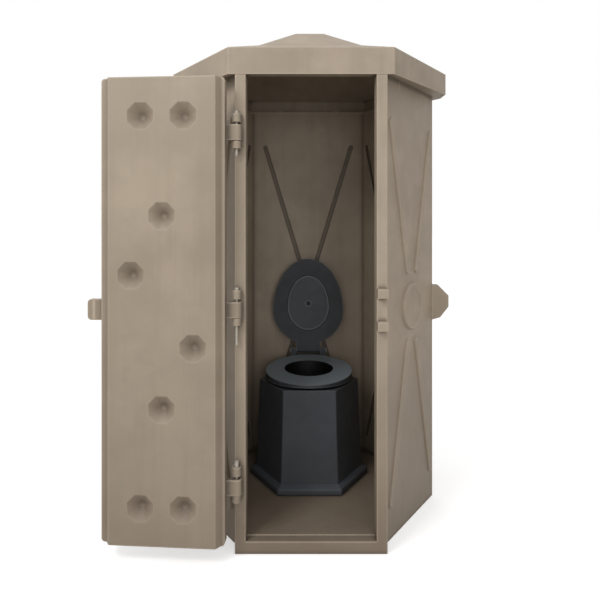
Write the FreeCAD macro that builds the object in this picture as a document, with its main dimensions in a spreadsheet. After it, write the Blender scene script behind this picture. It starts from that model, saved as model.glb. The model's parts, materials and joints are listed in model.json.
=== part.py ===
import FreeCAD, Part
import os
import re
import Sketcher

# Pit toilet: a moulded hexagonal cabin with a swinging door, and a hexagonal pedestal with seat and lid.
# Millimetres. The origin is on the ground at the centre of the hexagon, +Z up, +Y from door to back wall.
# At rest the door stands wide open beside the doorway and the lid leans back, as photographed.

# Driving sizes
SIZES = {
    "half_front": (312, "half length of the hexagon's front and back sides"),
    "half_width": (600, "distance from the centre to a side corner"),
    "half_depth": (433, "distance from the centre to the front and back sides"),
    "wall": (12, "thickness of walls, roof skin and fascia"),
    "wall_top": (1938, "height of the wall panels"),
    "frame_depth": (76, "depth of the door frame ahead of the hexagon's front side"),
    "jamb_step": (6, "distance from the hexagon's front corner to the jamb's outer face"),
    "jamb_width": (44, "width of a jamb's face"),
    "header_height": (8, "height of the door header"),
    "sill_height": (51, "height of the door sill"),
    "sill_depth": (45, "depth of the door sill"),
    "jamb_flange": (8, "thickness of the jamb's flange against the flank panel"),
    "floor_top": (55, "height of the floor"),
    "drop_radius": (150, "radius of the drop hole in the floor"),
    "anchor_across": (440, "anchor hole's distance from the centre, sideways"),
    "anchor_along": (110, "anchor hole's distance from the centre, front to back"),
    "anchor_radius": (6.5, "radius of an anchor hole"),
    "rib_width": (40, "width of a raised rib"),
    "rib_height": (10, "height of a raised rib"),
    "rib_slope": (35, "slope of the ribs' and bosses' sides from upright, in degrees"),
    "groove_width": (24, "width of the groove behind a rib"),
    "groove_depth": (16, "depth of the groove behind a rib"),
    "rib_inset": (40, "distance of a rib's far end from the panel's edge"),
    "rib_back_inset": (72, "the same distance on the back panel"),
    "rib_spread": (48, "distance of a rib's near end from the panel's middle"),
    "rib_head": (188, "distance from the wall's top to the upper ribs' far ends"),
    "rib_above": (164, "height of the upper ribs' near ends over the boss's centre"),
    "rib_below": (164, "distance from the boss's centre to the lower ribs' near ends"),
    "rib_foot": (150, "height of the lower ribs' far ends"),
    "boss_level": (954, "height of the round boss's centre"),
    "boss_radius": (107, "radius of the round boss"),
    "boss_height": (12, "height of the round boss"),
    "dish_rim": (22, "width of the rim round the boss's dish"),
    "dish_depth": (6, "depth of the boss's dish"),
    "dish_slope": (72, "slope of the dish's side from upright, in degrees"),
    "screw_radius": (3, "radius of a roof screw's shank"),
    "screw_grip": (36, "length of a roof screw in the wall"),
    "screw_head_radius": (7, "radius of a roof screw's head"),
    "screw_head_height": (4, "height of a roof screw's head"),
    "fascia_lap": (16, "how far the fascia hangs below the wall's top"),
    "fascia_rise": (92, "how far the fascia stands above the wall's top"),
    "eave_corner": (22, "how far the roof's front corners stand out sideways"),
    "eave_side": (45, "how far the roof's side facets stand out"),
    "eave_back": (45, "how far the roof stands out at the back"),
    "roof_side_front": (79, "distance of the side facets' front ends ahead of the centre"),
    "roof_side_rear": (20, "distance of the side facets' rear ends behind the centre"),
    "knee_rise": (60, "height over the fascia at which the roof grows steeper"),
    "knee_share": (0.66, "size of the roof there as a share of its size at the fascia"),
    "roof_rise": (187, "height of the roof's pyramid over the fascia"),
    "roof_flat_half": (126, "half width of the roof's flat top"),
    "lug_half_thick": (12, "half thickness of a corner lug"),
    "lug_level": (1028, "height of a corner lug's top"),
    "lug_flat": (24, "length of the lug's flat top beyond the corner"),
    "lug_reach": (77, "how far the lug's nose stands out from the corner"),
    "lug_shoulder": (53, "drop from the lug's top to the top of its nose"),
    "lug_nose": (108, "drop from the lug's top to the bottom of its nose"),
    "lug_heel_out": (36, "how far the lug's heel stands out from the corner"),
    "lug_heel": (160, "drop from the lug's top to its heel"),
    "lug_drop": (170, "drop from the lug's top to its foot"),
    "hinge_inset": (10, "distance from the jamb's outer face to the door's hinge axis"),
    "hinge_ahead": (22, "distance of the door's hinge axis ahead of the frame"),
    "hinge_foot": (182, "height of the lowest knuckle's foot over the door's lower edge"),
    "hinge_head": (242, "distance from the door's upper edge to the highest knuckle's foot"),
    "knuckle_height": (62, "height of a door knuckle"),
    "knuckle_radius": (20, "radius of a door knuckle"),
    "knuckle_arm": (18, "thickness of a knuckle's arm and of the latch tab"),
    "arm_offset": (2, "distance of the arms and the tab from the hinge axis' plane"),
    "door_swing": (4.2, "how far the open door is swung past the frame's plane, in degrees"),
    "hinge_boss_radius": (17, "radius of a frame hinge boss"),
    "lower_boss": (32, "height of the boss under a knuckle"),
    "upper_boss": (36, "height of the boss over a knuckle"),
    "hinge_lift": (10, "free height over a knuckle"),
    "hinge_gap": (0.4, "running gap under a knuckle"),
    "pin_radius": (5, "radius of a hinge pin"),
    "pin_clearance": (0.05, "radial clearance round a hinge pin"),
    "pin_head_radius": (8, "radius of a hinge pin's head"),
    "pin_head": (10, "height of the upper and middle pins' heads"),
    "pin_low_head": (24, "height of the lower pin's head"),
    "pin_upper_tail": (28, "length of the upper pin below its hinge"),
    "pin_middle_tail": (77, "length of the middle pin below its hinge"),
    "pin_lower_tail": (2, "length of the lower pin below its hinge"),
    "hinge_side_gap": (4, "gap between the closed leaf and the hinge jamb"),
    "latch_side_gap": (28, "gap between the closed leaf and the latch jamb"),
    "leaf_foot_gap": (19, "gap between the sill and the door leaf"),
    "leaf_head_gap": (28, "gap between the door leaf and the fascia"),
    "leaf_corner": (14, "corner radius of the door leaf"),
    "leaf_thick": (40, "thickness of the door leaf"),
    "leaf_proud": (12, "how far the closed leaf stands ahead of the frame"),
    "plug_hinge_margin": (32, "distance from the leaf's hinge side to the face of its raised plug"),
    "plug_latch_margin": (38, "distance from the leaf's latch side to the face of its raised plug"),
    "plug_slope": (18, "width of the slope at each side of the door's raised plug"),
    "plug_thick": (24, "height of the door's raised plug"),
    "dimple_radius": (57, "corner radius of a dimple's octagon"),
    "dimple_floor_radius": (10, "corner radius of a dimple's octagonal floor"),
    "dimple_depth": (36, "depth of a dimple"),
    "dimple_pair": (85, "distance of a paired dimple from the plug's middle"),
    "dimple_side": (123, "distance of a single dimple from the plug's middle"),
    "dimple_head": (152, "distance from the leaf's upper edge to the top pair of dimples"),
    "dimple_high": (372, "height of the dimple under the top pair over the leaf's middle"),
    "dimple_above": (140, "height of the upper side dimple over the leaf's middle"),
    "dimple_below": (141, "distance from the leaf's middle to the lower side dimple"),
    "dimple_low": (380, "distance from the leaf's middle to the dimple over the bottom pair"),
    "dimple_foot": (147, "height of the bottom pair of dimples over the leaf's lower edge"),
    "tab_drop": (2, "distance from the leaf's middle to the latch tab's middle"),
    "tab_height": (84, "height of the latch tab"),
    "tab_wall": (26, "distance from the latch hole's axis to the tab's end"),
    "tab_corner": (16, "corner radius of the latch tab"),
    "keeper_gap": (92, "height between the two latch keepers"),
    "keeper_height": (38, "height of a latch keeper"),
    "keeper_depth": (36, "how far the keepers stand ahead of the frame"),
    "latch_step": (16, "distance from the doorway's side to the latch hole's axis"),
    "latch_radius": (5.5, "radius of the latch hole"),
    "pedestal_gap": (302, "distance from the cabin's back side to the pedestal's axis"),
    "flange_radius": (299, "corner radius of the pedestal's flange"),
    "flange_rise": (28, "height of the flange's upright rim"),
    "skirt_rise": (16, "height of the slope over the flange's rim"),
    "foot_radius": (268, "corner radius of the pedestal above its flange"),
    "crown_radius": (250, "corner radius of the pedestal's top"),
    "pedestal_top": (534, "height of the pedestal's top"),
    "pedestal_wall": (8, "thickness of the pedestal's wall"),
    "chute_radius": (143, "outer radius of the drop chute"),
    "chute_wall": (4, "thickness of the drop chute"),
    "chute_play": (0.5, "radial play of the chute in the pedestal"),
    "chute_rim": (22, "width of the chute's rim"),
    "chute_foot": (10, "height of the chute's lower end"),
    "seat_ahead": (13, "distance of the seat's middle ahead of the pedestal's axis"),
    "seat_half_width": (218, "half width of the seat"),
    "seat_half_length": (212, "half length of the seat"),
    "seat_lift": (12, "height of the buffers under the seat"),
    "seat_front_thick": (15, "thickness of the seat at its front"),
    "seat_rake": (6.7, "slope of the seat's top, rising to the back, in degrees"),
    "hole_half_width": (123, "half width of the seat's hole"),
    "hole_half_length": (108, "half length of the seat's hole"),
    "buffer_radius": (12, "radius of a seat buffer"),
    "buffer_spread": (134, "distance of a seat buffer from the pedestal's axis, each way"),
    "lid_behind": (205, "distance of the lid's hinge axis behind the pedestal's axis"),
    "neck_half": (65, "half width of the lid's neck"),
    "neck_gap": (0.5, "gap between the neck and an ear"),
    "ear_width": (30, "width of an ear of the lid's hinge"),
    "ear_radius": (14, "radius of an ear of the lid's hinge"),
    "lid_half_width": (191, "half width of the lid"),
    "lid_middle": (216, "distance from the hinge axis to the lid's widest line"),
    "lid_far": (280, "length of the lid beyond its widest line"),
    "lid_near": (182, "length of the lid before its widest line"),
    "lid_thick": (24, "thickness of the lid"),
    "lid_lean": (5, "how far the open lid leans back, in degrees"),
    "lid_plug_half_width": (112, "half width of the lid's plug"),
    "lid_plug_far": (168, "length of the plug beyond its widest line"),
    "lid_plug_near": (125, "length of the plug before its widest line"),
    "lid_plug_middle": (236, "distance from the hinge axis to the plug's widest line"),
    "plug_screw_middle": (252, "distance from the hinge axis to the plug's screw"),
    "lid_plug_height": (10, "height of the lid's plug"),
    "lid_gap": (0.5, "gap between the plug and the seat when the lid is closed"),
    "recess_radius": (12, "radius of the recess in the plug"),
    "recess_depth": (8, "depth of the recess in the plug"),
    "plug_screw_radius": (4, "radius of the plug screw's shank"),
    "plug_screw_head": (7, "radius of the plug screw's head"),
    "plug_screw_grip": (14, "length of the plug screw in the lid"),
}

# Sizes that follow from the driving ones
DERIVED = {
    "frame_front": "half_depth + frame_depth",
    "frame_half_width": "half_front - jamb_step",
    "opening_half": "frame_half_width - jamb_width",
    "opening_top": "wall_top - header_height",
    "rib_top": "wall_top - rib_head",
    "rib_upper": "boss_level + rib_above",
    "rib_lower": "boss_level - rib_below",
    "fascia_bottom": "wall_top - fascia_lap",
    "fascia_top": "wall_top + fascia_rise",
    "roof_half_front": "half_front + eave_corner",
    "roof_half_width": "half_width + eave_side",
    "roof_back": "half_depth + eave_back",
    "roof_knee": "fascia_top + knee_rise",
    "roof_peak": "fascia_top + roof_rise",
    "leaf_bottom": "sill_height + leaf_foot_gap",
    "leaf_top": "fascia_bottom - leaf_head_gap",
    "leaf_middle": "(leaf_bottom + leaf_top) / 2",
    "hinge_side": "frame_half_width - hinge_inset",
    "hinge_low": "leaf_bottom + hinge_foot",
    "hinge_pitch": "(leaf_top - hinge_head - hinge_low) / 2",
    "leaf_start": "hinge_side - opening_half + hinge_side_gap",
    "leaf_width": "2 * opening_half - hinge_side_gap - latch_side_gap",
    "plug_start": "leaf_start + plug_hinge_margin",
    "plug_width": "leaf_width - plug_hinge_margin - plug_latch_margin",
    "dimple_first": "leaf_top - dimple_head",
    "dimple_second": "leaf_middle + dimple_high",
    "dimple_third": "leaf_middle + dimple_above",
    "dimple_fourth": "leaf_middle - dimple_below",
    "dimple_fifth": "leaf_middle - dimple_low",
    "dimple_sixth": "leaf_bottom + dimple_foot",
    "tab_level": "leaf_middle - tab_drop",
    "latch_side": "opening_half + latch_step",
    "pedestal_back": "half_depth - pedestal_gap",
    "seat_middle": "pedestal_back - seat_ahead",
    "lid_back": "pedestal_back + lid_behind",
}

doc = FreeCAD.newDocument("pit_toilet")
sheet = doc.addObject("Spreadsheet::Sheet", "dims")
for row, (alias, (size, meaning)) in enumerate(SIZES.items(), start=1):
    sheet.set(f"A{row}", alias)
    sheet.set(f"B{row}", str(size))
    sheet.setAlias(f"B{row}", alias)
    sheet.set(f"C{row}", meaning)
doc.recompute()

pieces = []


# Helpers: sizes and places are written as formulas of the sheet's names

def linked(formula):
    def cell(word):
        name = word.group()
        if name in DERIVED:
            return f"({linked(DERIVED[name])})"
        return f"dims.{name}" if name in SIZES else name
    return re.sub(r"[a-z][a-z_0-9]*", cell, str(formula))


def value(formula):
    return float(sheet.evalExpression(linked(formula)))


def bind(thing, **formulas):
    for name, formula in formulas.items():
        thing.setExpression(name, linked(formula))


def place(thing, at, axis=(0, 0, 1), angle=None):
    turn = FreeCAD.Rotation()
    if angle is not None:
        turn = FreeCAD.Rotation(FreeCAD.Vector(*axis), value(angle))
    thing.Placement = FreeCAD.Placement(FreeCAD.Vector(*map(value, at)), turn)
    for letter, formula in zip("xyz", at):
        thing.setExpression(f"Placement.Base.{letter}", linked(formula))
    if angle is not None:
        thing.setExpression("Placement.Rotation.Angle", linked(angle))


def block(name, low, high):
    box = doc.addObject("Part::Box", name)
    sides = [f"({end}) - ({start})" for start, end in zip(low, high)]
    bind(box, Length=sides[0], Width=sides[1], Height=sides[2])
    place(box, low)
    return box


def rod(name, radius, foot, length, axis=(0, 0, 1), angle=None):
    cylinder = doc.addObject("Part::Cylinder", name)
    bind(cylinder, Radius=radius, Height=length)
    place(cylinder, foot, axis, angle)
    return cylinder


def rod_across(name, radius, foot, length):
    return rod(name, radius, foot, length, axis=(0, 1, 0), angle="90")


def polygon(sketch, corners):
    points = [FreeCAD.Vector(value(x), value(y), 0) for x, y in corners]
    count = len(points)
    for index in range(count):
        sketch.addGeometry(Part.LineSegment(points[index], points[(index + 1) % count]))
    for index in range(count):
        sketch.addConstraint(Sketcher.Constraint("Coincident", index, 2, (index + 1) % count, 1))
    for index, corner in enumerate(corners):
        fix_point(sketch, index, 1, corner)


def fix_point(sketch, geometry, point, where):
    for kind, formula in zip(("DistanceX", "DistanceY"), where):
        number = sketch.addConstraint(Sketcher.Constraint(kind, geometry, point, value(formula)))
        sketch.setExpression(f"Constraints[{number}]", linked(formula))


def circle(sketch, centre, radius):
    shape = Part.Circle(FreeCAD.Vector(*map(value, centre), 0), FreeCAD.Vector(0, 0, 1), value(radius))
    geometry = sketch.addGeometry(shape)
    number = sketch.addConstraint(Sketcher.Constraint("Radius", geometry, value(radius)))
    sketch.setExpression(f"Constraints[{number}]", linked(radius))
    fix_point(sketch, geometry, 3, centre)


def slot(sketch, start, end, width):
    first = FreeCAD.Vector(*map(value, start), 0)
    last = FreeCAD.Vector(*map(value, end), 0)
    radius = value(width) / 2
    along = (last - first).normalize() * radius
    aside = FreeCAD.Vector(-along.y, along.x, 0)
    sides = [
        Part.LineSegment(first - aside, last - aside),
        Part.Arc(last - aside, last + along, last + aside),
        Part.LineSegment(last + aside, first + aside),
        Part.Arc(first + aside, first - along, first - aside),
    ]
    numbers = [sketch.addGeometry(side) for side in sides]
    for index, number in enumerate(numbers):
        following = numbers[(index + 1) % len(numbers)]
        sketch.addConstraint(Sketcher.Constraint("Tangent", number, 2, following, 1))
    number = sketch.addConstraint(Sketcher.Constraint("Radius", numbers[1], radius))
    sketch.setExpression(f"Constraints[{number}]", linked(f"{width} / 2"))
    fix_point(sketch, numbers[1], 3, end)
    fix_point(sketch, numbers[3], 3, start)


def outline(name, corners, level):
    sketch = doc.addObject("Sketcher::SketchObject", name)
    polygon(sketch, corners)
    place(sketch, (0, 0, level))
    return sketch


def extrusion(name, base, length):
    solid = doc.addObject("Part::Extrusion", name)
    solid.Base = base
    solid.DirMode = "Normal"
    solid.Solid = True
    bind(solid, LengthFwd=length)
    return solid


def prism(name, corners, low, high):
    return extrusion(name, outline(f"{name}_outline", corners, low), f"({high}) - ({low})")


def inset(name, base, amount):
    smaller = doc.addObject("Part::Offset2D", name)
    smaller.Source = base
    bind(smaller, Value=f"-({amount})")
    return smaller


def regular(name, sides, radius, at):
    shape = doc.addObject("Part::RegularPolygon", name)
    shape.Polygon = sides
    bind(shape, Circumradius=radius)
    place(shape, at)
    return shape


def loft(name, *sections):
    solid = doc.addObject("Part::Loft", name)
    solid.Sections = list(sections)
    solid.Solid = True
    solid.Ruled = True
    return solid


def fuse(name, *shapes):
    whole = doc.addObject("Part::MultiFuse", name)
    whole.Shapes = list(shapes)
    return whole


def cut(name, base, *tools):
    rest = doc.addObject("Part::Cut", name)
    rest.Base = base
    rest.Tool = tools[0] if len(tools) == 1 else fuse(f"{name}_tools", *tools)
    return rest


def group(name, *shapes):
    compound = doc.addObject("Part::Compound", name)
    compound.Links = list(shapes)
    return compound


def oval(name, half_width, ahead, behind, middle, low, high):
    """An egg-shaped plate: two half ellipses that share their widest line, extruded upright."""
    width = value(half_width)
    halves = []
    for length, first in ((value(ahead), 0), (value(behind), 180)):
        arc = Part.makeCircle(1, FreeCAD.Vector(), FreeCAD.Vector(0, 0, 1), first, first + 180)
        stretch = FreeCAD.Matrix()
        stretch.scale(width, length, 1)
        halves.append(arc.transformGeometry(stretch))
    face = Part.Face(Part.Wire(halves))
    face.translate(FreeCAD.Vector(0, value(middle), value(low)))
    plate = doc.addObject("Part::Feature", name)
    plate.Shape = face.extrude(FreeCAD.Vector(0, 0, value(f"({high}) - ({low})")))
    return plate


NEAR = 1


def rounded(name, base, radius, chosen):
    """Rounds the edges of a solid whose middle point passes the test, which takes places within NEAR."""
    doc.recompute()
    size = value(radius)
    numbers = []
    for number, edge in enumerate(base.Shape.Edges, start=1):
        if chosen(edge.CenterOfMass):
            numbers.append((number, size, size))
    fillet = doc.addObject("Part::Fillet", name)
    fillet.Base = base
    fillet.Edges = numbers
    return fillet


def piece(name, thing):
    thing.Label = name
    pieces.append(thing)
    return thing


# Plan of the cabin, walked anticlockwise from above
flank_run = "(half_width - half_front)"
flank_length = f"sqrt({flank_run}^2 + half_depth^2)"
flank_turn = f"atan2(half_depth; {flank_run})"
wall_across = f"(wall * {flank_length} / half_depth)"
side_mitre = f"(wall * {flank_run} / half_depth)"
back_mitre = f"(wall * half_depth / ({flank_length} + {flank_run}))"
inner_front = f"(half_front - {wall_across})"
inner_side = f"(half_width - {wall_across})"
inner_back = f"(half_front - {back_mitre})"
inner_depth = "(half_depth - wall)"

# Each wall panel: start corner, heading, length, and how far its inner face is drawn in at each end
PANELS = {
    "front_right_panel": (
        ("half_front", "-half_depth"), flank_turn, flank_length, f"-{side_mitre}", side_mitre),
    "rear_right_panel": (
        ("half_width", "0"), f"180 deg - {flank_turn}", flank_length, side_mitre, back_mitre),
    "back_panel": (
        ("half_front", "half_depth"), "180 deg", "2 * half_front", back_mitre, back_mitre),
    "rear_left_panel": (
        ("-half_front", "half_depth"), f"180 deg + {flank_turn}", flank_length, back_mitre, side_mitre),
    "front_left_panel": (
        ("-half_width", "0"), f"-{flank_turn}", flank_length, side_mitre, f"-{side_mitre}"),
}


def plane_of(body, role):
    return next(plane for plane in body.Origin.OriginFeatures if plane.Role == role)


def sketch_on(body, name, role, offset="0"):
    sketch = body.newObject("Sketcher::SketchObject", name)
    sketch.AttachmentSupport = [(plane_of(body, role), "")]
    sketch.MapMode = "FlatFace"
    sketch.setExpression("AttachmentOffset.Base.z", linked(offset))
    return sketch


def feature(body, kind, name, sketch, length, backwards=False, slope="0"):
    step = body.newObject(f"PartDesign::{kind}", name)
    step.Profile = sketch
    step.Reversed = backwards
    bind(step, Length=length, TaperAngle=f"-({slope})")


def rib_ends(name, length):
    middle = f"({length}) / 2"
    inset_name = "rib_back_inset" if name == "back_panel" else "rib_inset"
    for side in ("-", "+"):
        far = f"{middle} {side} (({length}) / 2 - {inset_name})"
        near = f"{middle} {side} rib_spread"
        yield (far, "rib_top"), (near, "rib_upper")
        yield (near, "rib_lower"), (far, "rib_foot")


def screw_places(length):
    return [(f"({length}) / 4", "wall / 2"), (f"({length}) * 3 / 4", "wall / 2")]


def wall_panel(name, start, heading, length, drawn_first, drawn_last):
    """A flat wall with an X of ribs and a dished boss outside, and grooves behind the ribs."""
    body = doc.addObject("PartDesign::Body", f"{name}_body")

    plan = sketch_on(body, f"{name}_plan", "XY_Plane")
    corners = [("0", "0"), (length, "0"), (f"{length} - {drawn_last}", "wall"), (drawn_first, "wall")]
    polygon(plan, corners)
    feature(body, "Pad", f"{name}_plate", plan, "wall_top")

    ribs = sketch_on(body, f"{name}_rib_lines", "XZ_Plane")
    for first, last in rib_ends(name, length):
        slot(ribs, first, last, "rib_width")
    feature(body, "Pad", f"{name}_ribs", ribs, "rib_height", slope="rib_slope")

    disc = sketch_on(body, f"{name}_boss_line", "XZ_Plane")
    circle(disc, (f"({length}) / 2", "boss_level"), "boss_radius")
    feature(body, "Pad", f"{name}_boss", disc, "boss_height", slope="rib_slope")

    dish = sketch_on(body, f"{name}_dish_line", "XZ_Plane", "boss_height")
    circle(dish, (f"({length}) / 2", "boss_level"), "boss_radius - dish_rim")
    feature(body, "Pocket", f"{name}_dish", dish, "dish_depth", slope="dish_slope")

    grooves = sketch_on(body, f"{name}_groove_lines", "XZ_Plane", "-wall")
    for first, last in rib_ends(name, length):
        slot(grooves, first, last, "groove_width")
    feature(body, "Pocket", f"{name}_grooves", grooves, "groove_depth", backwards=True)

    holes = sketch_on(body, f"{name}_screw_lines", "XY_Plane", "wall_top")
    for spot in screw_places(length):
        circle(holes, spot, "screw_radius")
    feature(body, "Pocket", f"{name}_screw_holes", holes, "screw_grip")

    place(body, (*start, "0"), angle=heading)
    return piece(name, body)


def wall_panels():
    for name, plan in PANELS.items():
        wall_panel(name, *plan)


# Floor and door frame

def floor_base():
    corners = [
        ("opening_half", "sill_depth - frame_front"),
        ("opening_half", "-half_depth"),
        (inner_front, "-half_depth"),
        (inner_side, "0"),
        (inner_back, inner_depth),
        (f"-{inner_back}", inner_depth),
        (f"-{inner_side}", "0"),
        (f"-{inner_front}", "-half_depth"),
        ("-opening_half", "-half_depth"),
        ("-opening_half", "sill_depth - frame_front"),
    ]
    slab = prism("floor_slab", corners, "0", "floor_top")
    holes = [rod("drop_hole", "drop_radius", ("0", "pedestal_back", "0"), "floor_top")]
    for across in ("-anchor_across", "anchor_across"):
        for along in ("-anchor_along", "anchor_along"):
            holes.append(rod("anchor_hole", "anchor_radius", (across, along, "0"), "floor_top"))
    piece("floor_base", cut("floor_cut", slab, *holes))


def jamb(side):
    """One upright: a post, a flange that the flank panel butts on, and a tongue behind the fascia."""
    name = "left" if side == "-" else "right"

    def span(first, last):
        return (f"-({last})", f"-({first})") if side == "-" else (first, last)
    near, far = span("opening_half", "frame_half_width")
    post = block(f"{name}_post", (near, "-frame_front", "0"), (far, "-half_depth", "fascia_bottom"))
    tongue = block(
        f"{name}_tongue", (near, "wall - frame_front", "fascia_bottom"), (far, "-half_depth", "wall_top"))
    near, far = span("frame_half_width", "half_front")
    flange = block(
        f"{name}_flange", (near, "-half_depth - jamb_flange", "0"), (far, "-half_depth", "wall_top"))
    return [post, tongue, flange]


hinge_x = "(-hinge_side)"
hinge_y = "(-frame_front - hinge_ahead)"
hinge_feet = {
    "lower": "hinge_low",
    "middle": "(hinge_low + hinge_pitch)",
    "upper": "(hinge_low + 2 * hinge_pitch)",
}
pin_bore = "pin_radius + pin_clearance"


def lower_boss_foot(foot):
    return f"({foot} - hinge_gap - lower_boss)"


def upper_boss_foot(foot):
    return f"({foot} + knuckle_height + hinge_lift)"


def hinge_boss(name, foot, height):
    eye = rod(f"{name}_eye", "hinge_boss_radius", (hinge_x, hinge_y, foot), height)
    web = block(
        f"{name}_web",
        (f"{hinge_x} - hinge_boss_radius", hinge_y, foot),
        (f"{hinge_x} + hinge_boss_radius", "-frame_front", f"{foot} + {height}"))
    return [eye, web]


def left_jamb():
    shapes = jamb("-")
    bores = []
    for name, foot in hinge_feet.items():
        shapes += hinge_boss(f"{name}_low_boss", lower_boss_foot(foot), "lower_boss")
        shapes += hinge_boss(f"{name}_high_boss", upper_boss_foot(foot), "upper_boss")
        length = f"{upper_boss_foot(foot)} + upper_boss - {lower_boss_foot(foot)}"
        bores.append(rod(f"{name}_bore", pin_bore, (hinge_x, hinge_y, lower_boss_foot(foot)), length))
    piece("left_jamb", cut("left_jamb_cut", fuse("left_jamb_solid", *shapes), *bores))


latch_y = f"({hinge_y} + arm_offset + knuckle_arm / 2)"
keeper_feet = ["(tab_level + keeper_gap / 2)", "(tab_level - keeper_gap / 2 - keeper_height)"]


def right_jamb():
    shapes = jamb("+")
    for foot in keeper_feet:
        shapes.append(block(
            "latch_keeper",
            ("opening_half", "-frame_front - keeper_depth", foot),
            ("frame_half_width", "-frame_front", f"{foot} + keeper_height")))
    bore = rod(
        "latch_bore", "latch_radius", ("latch_side", latch_y, keeper_feet[1]),
        "keeper_gap + 2 * keeper_height")
    piece("right_jamb", cut("right_jamb_cut", fuse("right_jamb_solid", *shapes), bore))


def sill_and_header():
    piece("door_sill", block(
        "sill", ("-opening_half", "-frame_front", "0"),
        ("opening_half", "sill_depth - frame_front", "sill_height")))
    piece("door_header", block(
        "header", ("-opening_half", "wall - frame_front", "opening_top"),
        ("opening_half", "-half_depth", "wall_top")))


# Roof: a cap with an upright fascia, a pyramid that steepens at a knee, and a soffit that stands on the walls

def roof_corners(share="1"):
    quarter = [
        ("roof_half_front", "-frame_front"),
        ("roof_half_width", "-roof_side_front"),
        ("roof_half_width", "roof_side_rear"),
        ("roof_half_front", "roof_back"),
    ]
    right = [(f"{x} * {share}", f"{y} * {share}") for x, y in quarter]
    left = [(f"-{x}", y) for x, y in reversed(right)]
    return right + left


soffit_top = "(wall_top + wall)"


def along_panels(name, make):
    """Makes something at each roof screw, in the place of the panel that it is screwed to."""
    made = []
    for panel, (start, heading, length, _, _) in PANELS.items():
        spots = [make(f"{panel}_{name}", spot) for spot in screw_places(length)]
        row = group(f"{panel}_{name}_row", *spots)
        place(row, (*start, "0"), angle=heading)
        made.append(row)
    return made


def lap_runout():
    """The space under the fascia, whose lap over the walls runs out towards the back."""
    profile = doc.addObject("Sketcher::SketchObject", "lap_outline")
    polygon(profile, [
        ("wall - frame_front", "fascia_bottom"),
        ("roof_back", "fascia_bottom"),
        ("roof_back", "wall_top"),
        ("roof_side_rear", "wall_top"),
    ])
    place(profile, ("-roof_half_width", "0", "0"), axis=(1, 1, 1), angle="120")
    return extrusion("lap_runout", profile, "2 * roof_half_width")


def roof():
    flat_share = "(roof_flat_half / roof_half_width)"
    rim = prism("roof_rim", roof_corners(), "fascia_bottom", "fascia_top")
    eave = outline("roof_eave", roof_corners(), "fascia_top")
    knee = outline("roof_knee_line", roof_corners("knee_share"), "roof_knee")
    crown = outline("roof_crown", roof_corners(flat_share), "roof_peak")
    cap = loft("roof_cap", eave, knee, crown)

    recess_line = inset("roof_recess_line", outline("roof_foot", roof_corners(), "fascia_bottom"), "wall")
    recess = extrusion("roof_recess", recess_line, "wall_top - fascia_bottom")
    hollow_line = inset("roof_hollow_line", outline("roof_soffit", roof_corners(), soffit_top), "wall")
    hollow = extrusion("roof_hollow", hollow_line, f"fascia_top - wall - {soffit_top}")
    spring = outline("roof_spring", roof_corners(), "fascia_top - wall")
    spring_line = inset("roof_spring_line", spring, "wall")
    bend = outline("roof_bend", roof_corners("knee_share"), "roof_knee - wall")
    ceiling = outline("roof_ceiling", roof_corners(flat_share), "roof_peak - wall")
    attic = loft("roof_attic", spring_line, bend, ceiling)
    mouth = prism(
        "roof_mouth",
        [(inner_front, "-half_depth"), (inner_side, "0"), (inner_back, inner_depth),
         (f"-{inner_back}", inner_depth), (f"-{inner_side}", "0"), (f"-{inner_front}", "-half_depth")],
        "wall_top", soffit_top)
    holes = along_panels("hole", lambda name, spot: rod(name, "screw_radius", (*spot, "wall_top"), "wall"))
    spaces = [lap_runout(), recess, hollow, attic, mouth]
    piece("roof", cut("roof_shell", fuse("roof_solid", rim, cap), *spaces, *holes))


def roof_screw(name, spot):
    shank = rod(f"{name}_shank", "screw_radius", (*spot, "wall_top - screw_grip"), "screw_grip + wall")
    head = rod(f"{name}_head", "screw_head_radius", (*spot, soffit_top), "screw_head_height")
    return fuse(name, shank, head)


def roof_screws():
    piece("roof_screws", group("roof_screw_set", *along_panels("screw", roof_screw)))


def corner_lug(name, side):
    """An octagonal lug that straddles a side corner, cut to sit on both flank panels."""
    plate = doc.addObject("Sketcher::SketchObject", f"{name}_outline")
    corners = [
        (inner_side, "lug_level - lug_drop"),
        ("half_width", "lug_level - lug_drop"),
        ("half_width + lug_heel_out", "lug_level - lug_heel"),
        ("half_width + lug_reach", "lug_level - lug_nose"),
        ("half_width + lug_reach", "lug_level - lug_shoulder"),
        ("half_width + lug_flat", "lug_level"),
        (inner_side, "lug_level"),
    ]
    polygon(plate, [(f"{side}({x})", z) for x, z in corners])
    place(plate, ("0", "lug_half_thick", "0"), axis=(1, 0, 0), angle="90")
    lug = extrusion(f"{name}_plate", plate, "2 * lug_half_thick")
    cabin = prism(
        f"{name}_cabin",
        [("half_front", "-half_depth"), ("half_width", "0"), ("half_front", "half_depth"),
         ("-half_front", "half_depth"), ("-half_width", "0"), ("-half_front", "-half_depth")],
        "0", "wall_top")
    piece(name, cut(f"{name}_cut", lug, cabin))


# Door, drawn about its hinge axis: distances from it run to the left, thickness to the front

def door_block(name, first, last, back, front, low, high):
    return block(name, (f"-({last})", f"-({front})", low), (f"-({first})", f"-({back})", high))


leaf_back = "(hinge_ahead - leaf_proud)"
leaf_front = f"({leaf_back} + leaf_thick)"
plug_front = f"({leaf_front} + plug_thick)"
plug_middle = "(plug_start + plug_width / 2)"
leaf_end = "(leaf_start + leaf_width)"
arm_end = "(arm_offset + knuckle_arm)"
tab_end = "(hinge_side + latch_side + tab_wall)"

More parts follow.
